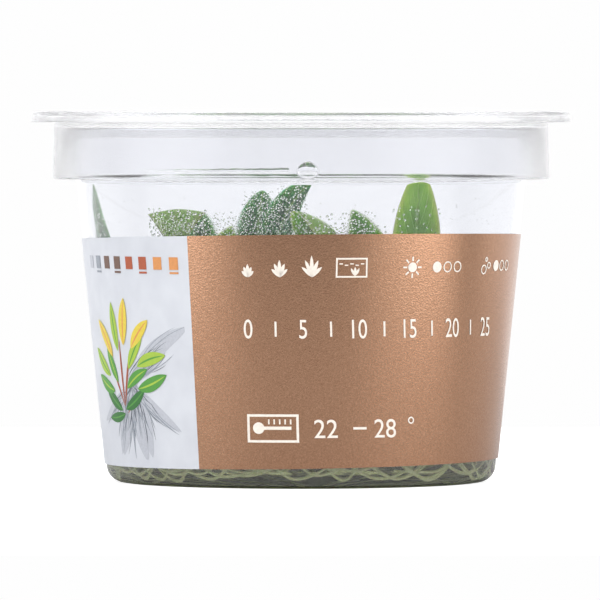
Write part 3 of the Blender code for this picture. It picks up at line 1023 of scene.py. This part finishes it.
def makeRoots(number, spread):
    low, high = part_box(f"rhizome_{number}")
    start = (low + high) / 2 / mm
    start.z = low.z / mm + 0.8
    toWall = math.degrees(math.atan2(start.x, -start.y))
    curve = bpy.data.curves.new(f"anubiasRoots_{number}", "CURVE")
    curve.dimensions = "3D"
    curve.bevel_depth = rootLook["thickness"] * mm
    curve.bevel_resolution = 3
    curve.use_fill_caps = True
    luck = random.Random(number * 7)
    for count in range(rootLook["count"]):
        away = spread * (2 * count / (rootLook["count"] - 1) - 1)
        line = rootPoints(start, toWall + away, luck)
        spline = curve.splines.new("NURBS")
        spline.order_u = 4
        spline.use_endpoint_u = True
        spline.resolution_u = 3
        spline.points.add(len(line) - 1)
        for index, point in enumerate(line):
            spline.points[index].co = (*(point * mm), 1)
            spline.points[index].radius = 1.25 - 0.6 * index / len(line)
    roots = bpy.data.objects.new(curve.name, curve)
    curve.materials.append(rootSkin)
    bpy.context.scene.collection.objects.link(roots)
    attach(roots, "root")


for node in sorted(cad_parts):
    if node.startswith("leaf"):
        makeLeaf(node)
for number in range(1, 8):
    makeRhizome(number)
    makeRoots(number, 180 if number == 7 else 55)
print("plantlets made")


mist = dict(
    cell=0.5, closest=0.92, tries=1.35, flatness=0.5, sunk=0.03,
    # direction and half width in degrees, lowest and highest, drops a square millimetre,
    # smallest and largest radius
    patches=[
        (-34.5, 9, 43.6, 48.4, 6.0, 0.18, 0.32),
        (-20.5, 6, 43.6, 48.0, 8.0, 0.10, 0.20),
        (-10.5, 5, 43.6, 51.6, 9.0, 0.10, 0.19),
        (-2.5, 4, 43.6, 52.6, 7.0, 0.10, 0.18),
        (5, 6.5, 43.6, 47.6, 4.0, 0.12, 0.28),
        (15, 4.5, 43.6, 48.2, 6.0, 0.11, 0.22),
        (20.5, 2.5, 43.6, 45.6, 5.0, 0.10, 0.20),
        (31, 8, 43.6, 49.0, 0.4, 0.14, 0.24),
        (-67, 4, 43.6, 51.0, 2.0, 0.10, 0.20),
        (-20, 50, 43.6, 51.0, 0.04, 0.08, 0.14),
        (180, 88, 43.6, 50.0, 0.06, 0.10, 0.18),
        (234, 26, 15.2, 43.4, 1.2, 0.12, 0.32),
        (4, 12, 43.9, 45.3, 0.7, 0.28, 0.55),
    ],
)


def dropletMesh():
    # half a drop, flattened; its flat side is just inside the plastic
    bm = bmesh.new()
    bmesh.ops.create_uvsphere(bm, u_segments=7, v_segments=4, radius=1.0)
    bmesh.ops.bisect_plane(
        bm, geom=bm.verts[:] + bm.edges[:] + bm.faces[:], plane_co=(0, 0, -0.01), plane_no=(0, 0, -1),
        clear_outer=True,
    )
    bmesh.ops.holes_fill(bm, edges=bm.edges, sides=0)
    bmesh.ops.scale(bm, vec=(1, 1, mist["flatness"]), verts=bm.verts)
    bmesh.ops.recalc_face_normals(bm, faces=bm.faces)
    mesh = bpy.data.meshes.new("droplet")
    bm.to_mesh(mesh)
    bm.free()
    return mesh


def insideWall(degrees, height):
    # a point on the cup's inner wall and the way in from it
    radius = wallRadius(height) - cup["wall"]
    inward = -roundDirection(degrees) + Vector((0, 0, 0.1))
    return roundDirection(degrees) * radius + Vector((0, 0, height)), inward.normalized()


def dropletPlaces():
    luck = random.Random(11)
    taken = {}
    places = []
    for middle, half, low, high, density, small, large in mist["patches"]:
        area = math.radians(2 * half) * wallRadius((low + high) / 2) * (high - low)
        for _ in range(round(area * density * mist["tries"])):
            degrees = middle + luck.uniform(-half, half)
            height = luck.uniform(low, high)
            radius = luck.uniform(small, large)
            fade = 1 - ((height - low) / (high - low)) ** 2.5
            patch = 0.5 + 0.5 * noise.noise(Vector((degrees * 0.12, height * 0.4, middle)))
            if density > 0.6 and luck.random() > 0.25 + 0.75 * min(fade, 0.35 + patch):
                continue
            point, inward = insideWall(degrees, height)
            across = round(math.radians(degrees) * 38 / mist["cell"])
            up = round(height / mist["cell"])
            near = []
            for i in (-1, 0, 1):
                for j in (-1, 0, 1):
                    near += taken.get((across + i, up + j), [])
            if any((point - other).length < (radius + size) * mist["closest"] for other, size in near):
                continue
            taken.setdefault((across, up), []).append((point, radius))
            places.append((point, inward, radius, degrees))
    return places


def makeCondensation():
    drop = dropletMesh()
    shapes = {"condensationFront": bmesh.new(), "condensationBack": bmesh.new()}
    for point, inward, radius, degrees in dropletPlaces():
        turn = inward.to_track_quat("Z", "Y").to_matrix().to_4x4()
        foot = (point - inward * mist["sunk"]) * mm
        place = Matrix.Translation(foot) @ turn @ Matrix.Scale(radius * mm, 4)
        drop.transform(place)
        front = math.cos(math.radians(degrees)) > 0.2
        shapes["condensationFront" if front else "condensationBack"].from_mesh(drop)
        drop.transform(place.inverted())
    for name, bm in shapes.items():
        print(name, len(bm.faces), "faces")
        finishPiece(bm, name, [water], sharpAngle=60)


hangingDrop = dict(at=1.6, height=55.5, inset=0.3, halfSizes=(1.9, 0.9, 1.4), sag=0.25)


def makeHangingDrop():
    # the one large drop, held in the corner where the collar meets the shoulder
    wide, deep, tall = hangingDrop["halfSizes"]
    bm = bmesh.new()
    bmesh.ops.create_uvsphere(bm, u_segments=48, v_segments=32, radius=1.0)
    for vert in bm.verts:
        pull = 1 - hangingDrop["sag"] * vert.co.z
        vert.co = Vector((vert.co.x * wide * pull, vert.co.y * deep, vert.co.z * tall))
    reach = cup["shoulderRadius"] - cup["wall"] - hangingDrop["inset"]
    place = roundDirection(hangingDrop["at"]) * reach + Vector((0, 0, hangingDrop["height"]))
    bmesh.ops.translate(bm, verts=bm.verts, vec=place)
    bmesh.ops.scale(bm, verts=bm.verts, vec=(mm, mm, mm))
    bmesh.ops.recalc_face_normals(bm, faces=bm.faces)
    finishPiece(bm, "hangingDrop", [water])


ledgeWater = dict(start=-44.0, end=-3.0, height=55.25, inset=0.6, thickness=0.5, points=45)


def makeShoulderWater():
    # a run of water that lies on the ledge over the shoulder, at the left of the drop
    curve = bpy.data.curves.new("shoulderWater", "CURVE")
    curve.dimensions = "3D"
    curve.bevel_depth = ledgeWater["thickness"] * mm
    curve.bevel_resolution = 4
    curve.use_fill_caps = True
    spline = curve.splines.new("NURBS")
    spline.order_u = 4
    spline.use_endpoint_u = True
    spline.points.add(ledgeWater["points"] - 1)
    reach = cup["shoulderRadius"] - cup["wall"] - ledgeWater["inset"]
    for index, point in enumerate(spline.points):
        share = index / (ledgeWater["points"] - 1)
        degrees = ledgeWater["start"] + (ledgeWater["end"] - ledgeWater["start"]) * share
        height = ledgeWater["height"] + 0.1 * noise.noise(Vector((share * 9, 0, 0)))
        place = roundDirection(degrees) * reach + Vector((0, 0, height))
        point.co = (*(place * mm), 1)
        swell = 0.35 + 0.75 * share + 0.25 * noise.noise(Vector((share * 14, 5, 0)))
        point.radius = swell * min(1, 12 * share + 0.2)  # it thins out at its far end
    run = bpy.data.objects.new("shoulderWater", curve)
    curve.materials.append(water)
    bpy.context.scene.collection.objects.link(run)
    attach(run, "root")


makeCondensation()
makeHangingDrop()
makeShoulderWater()
print("condensation made")
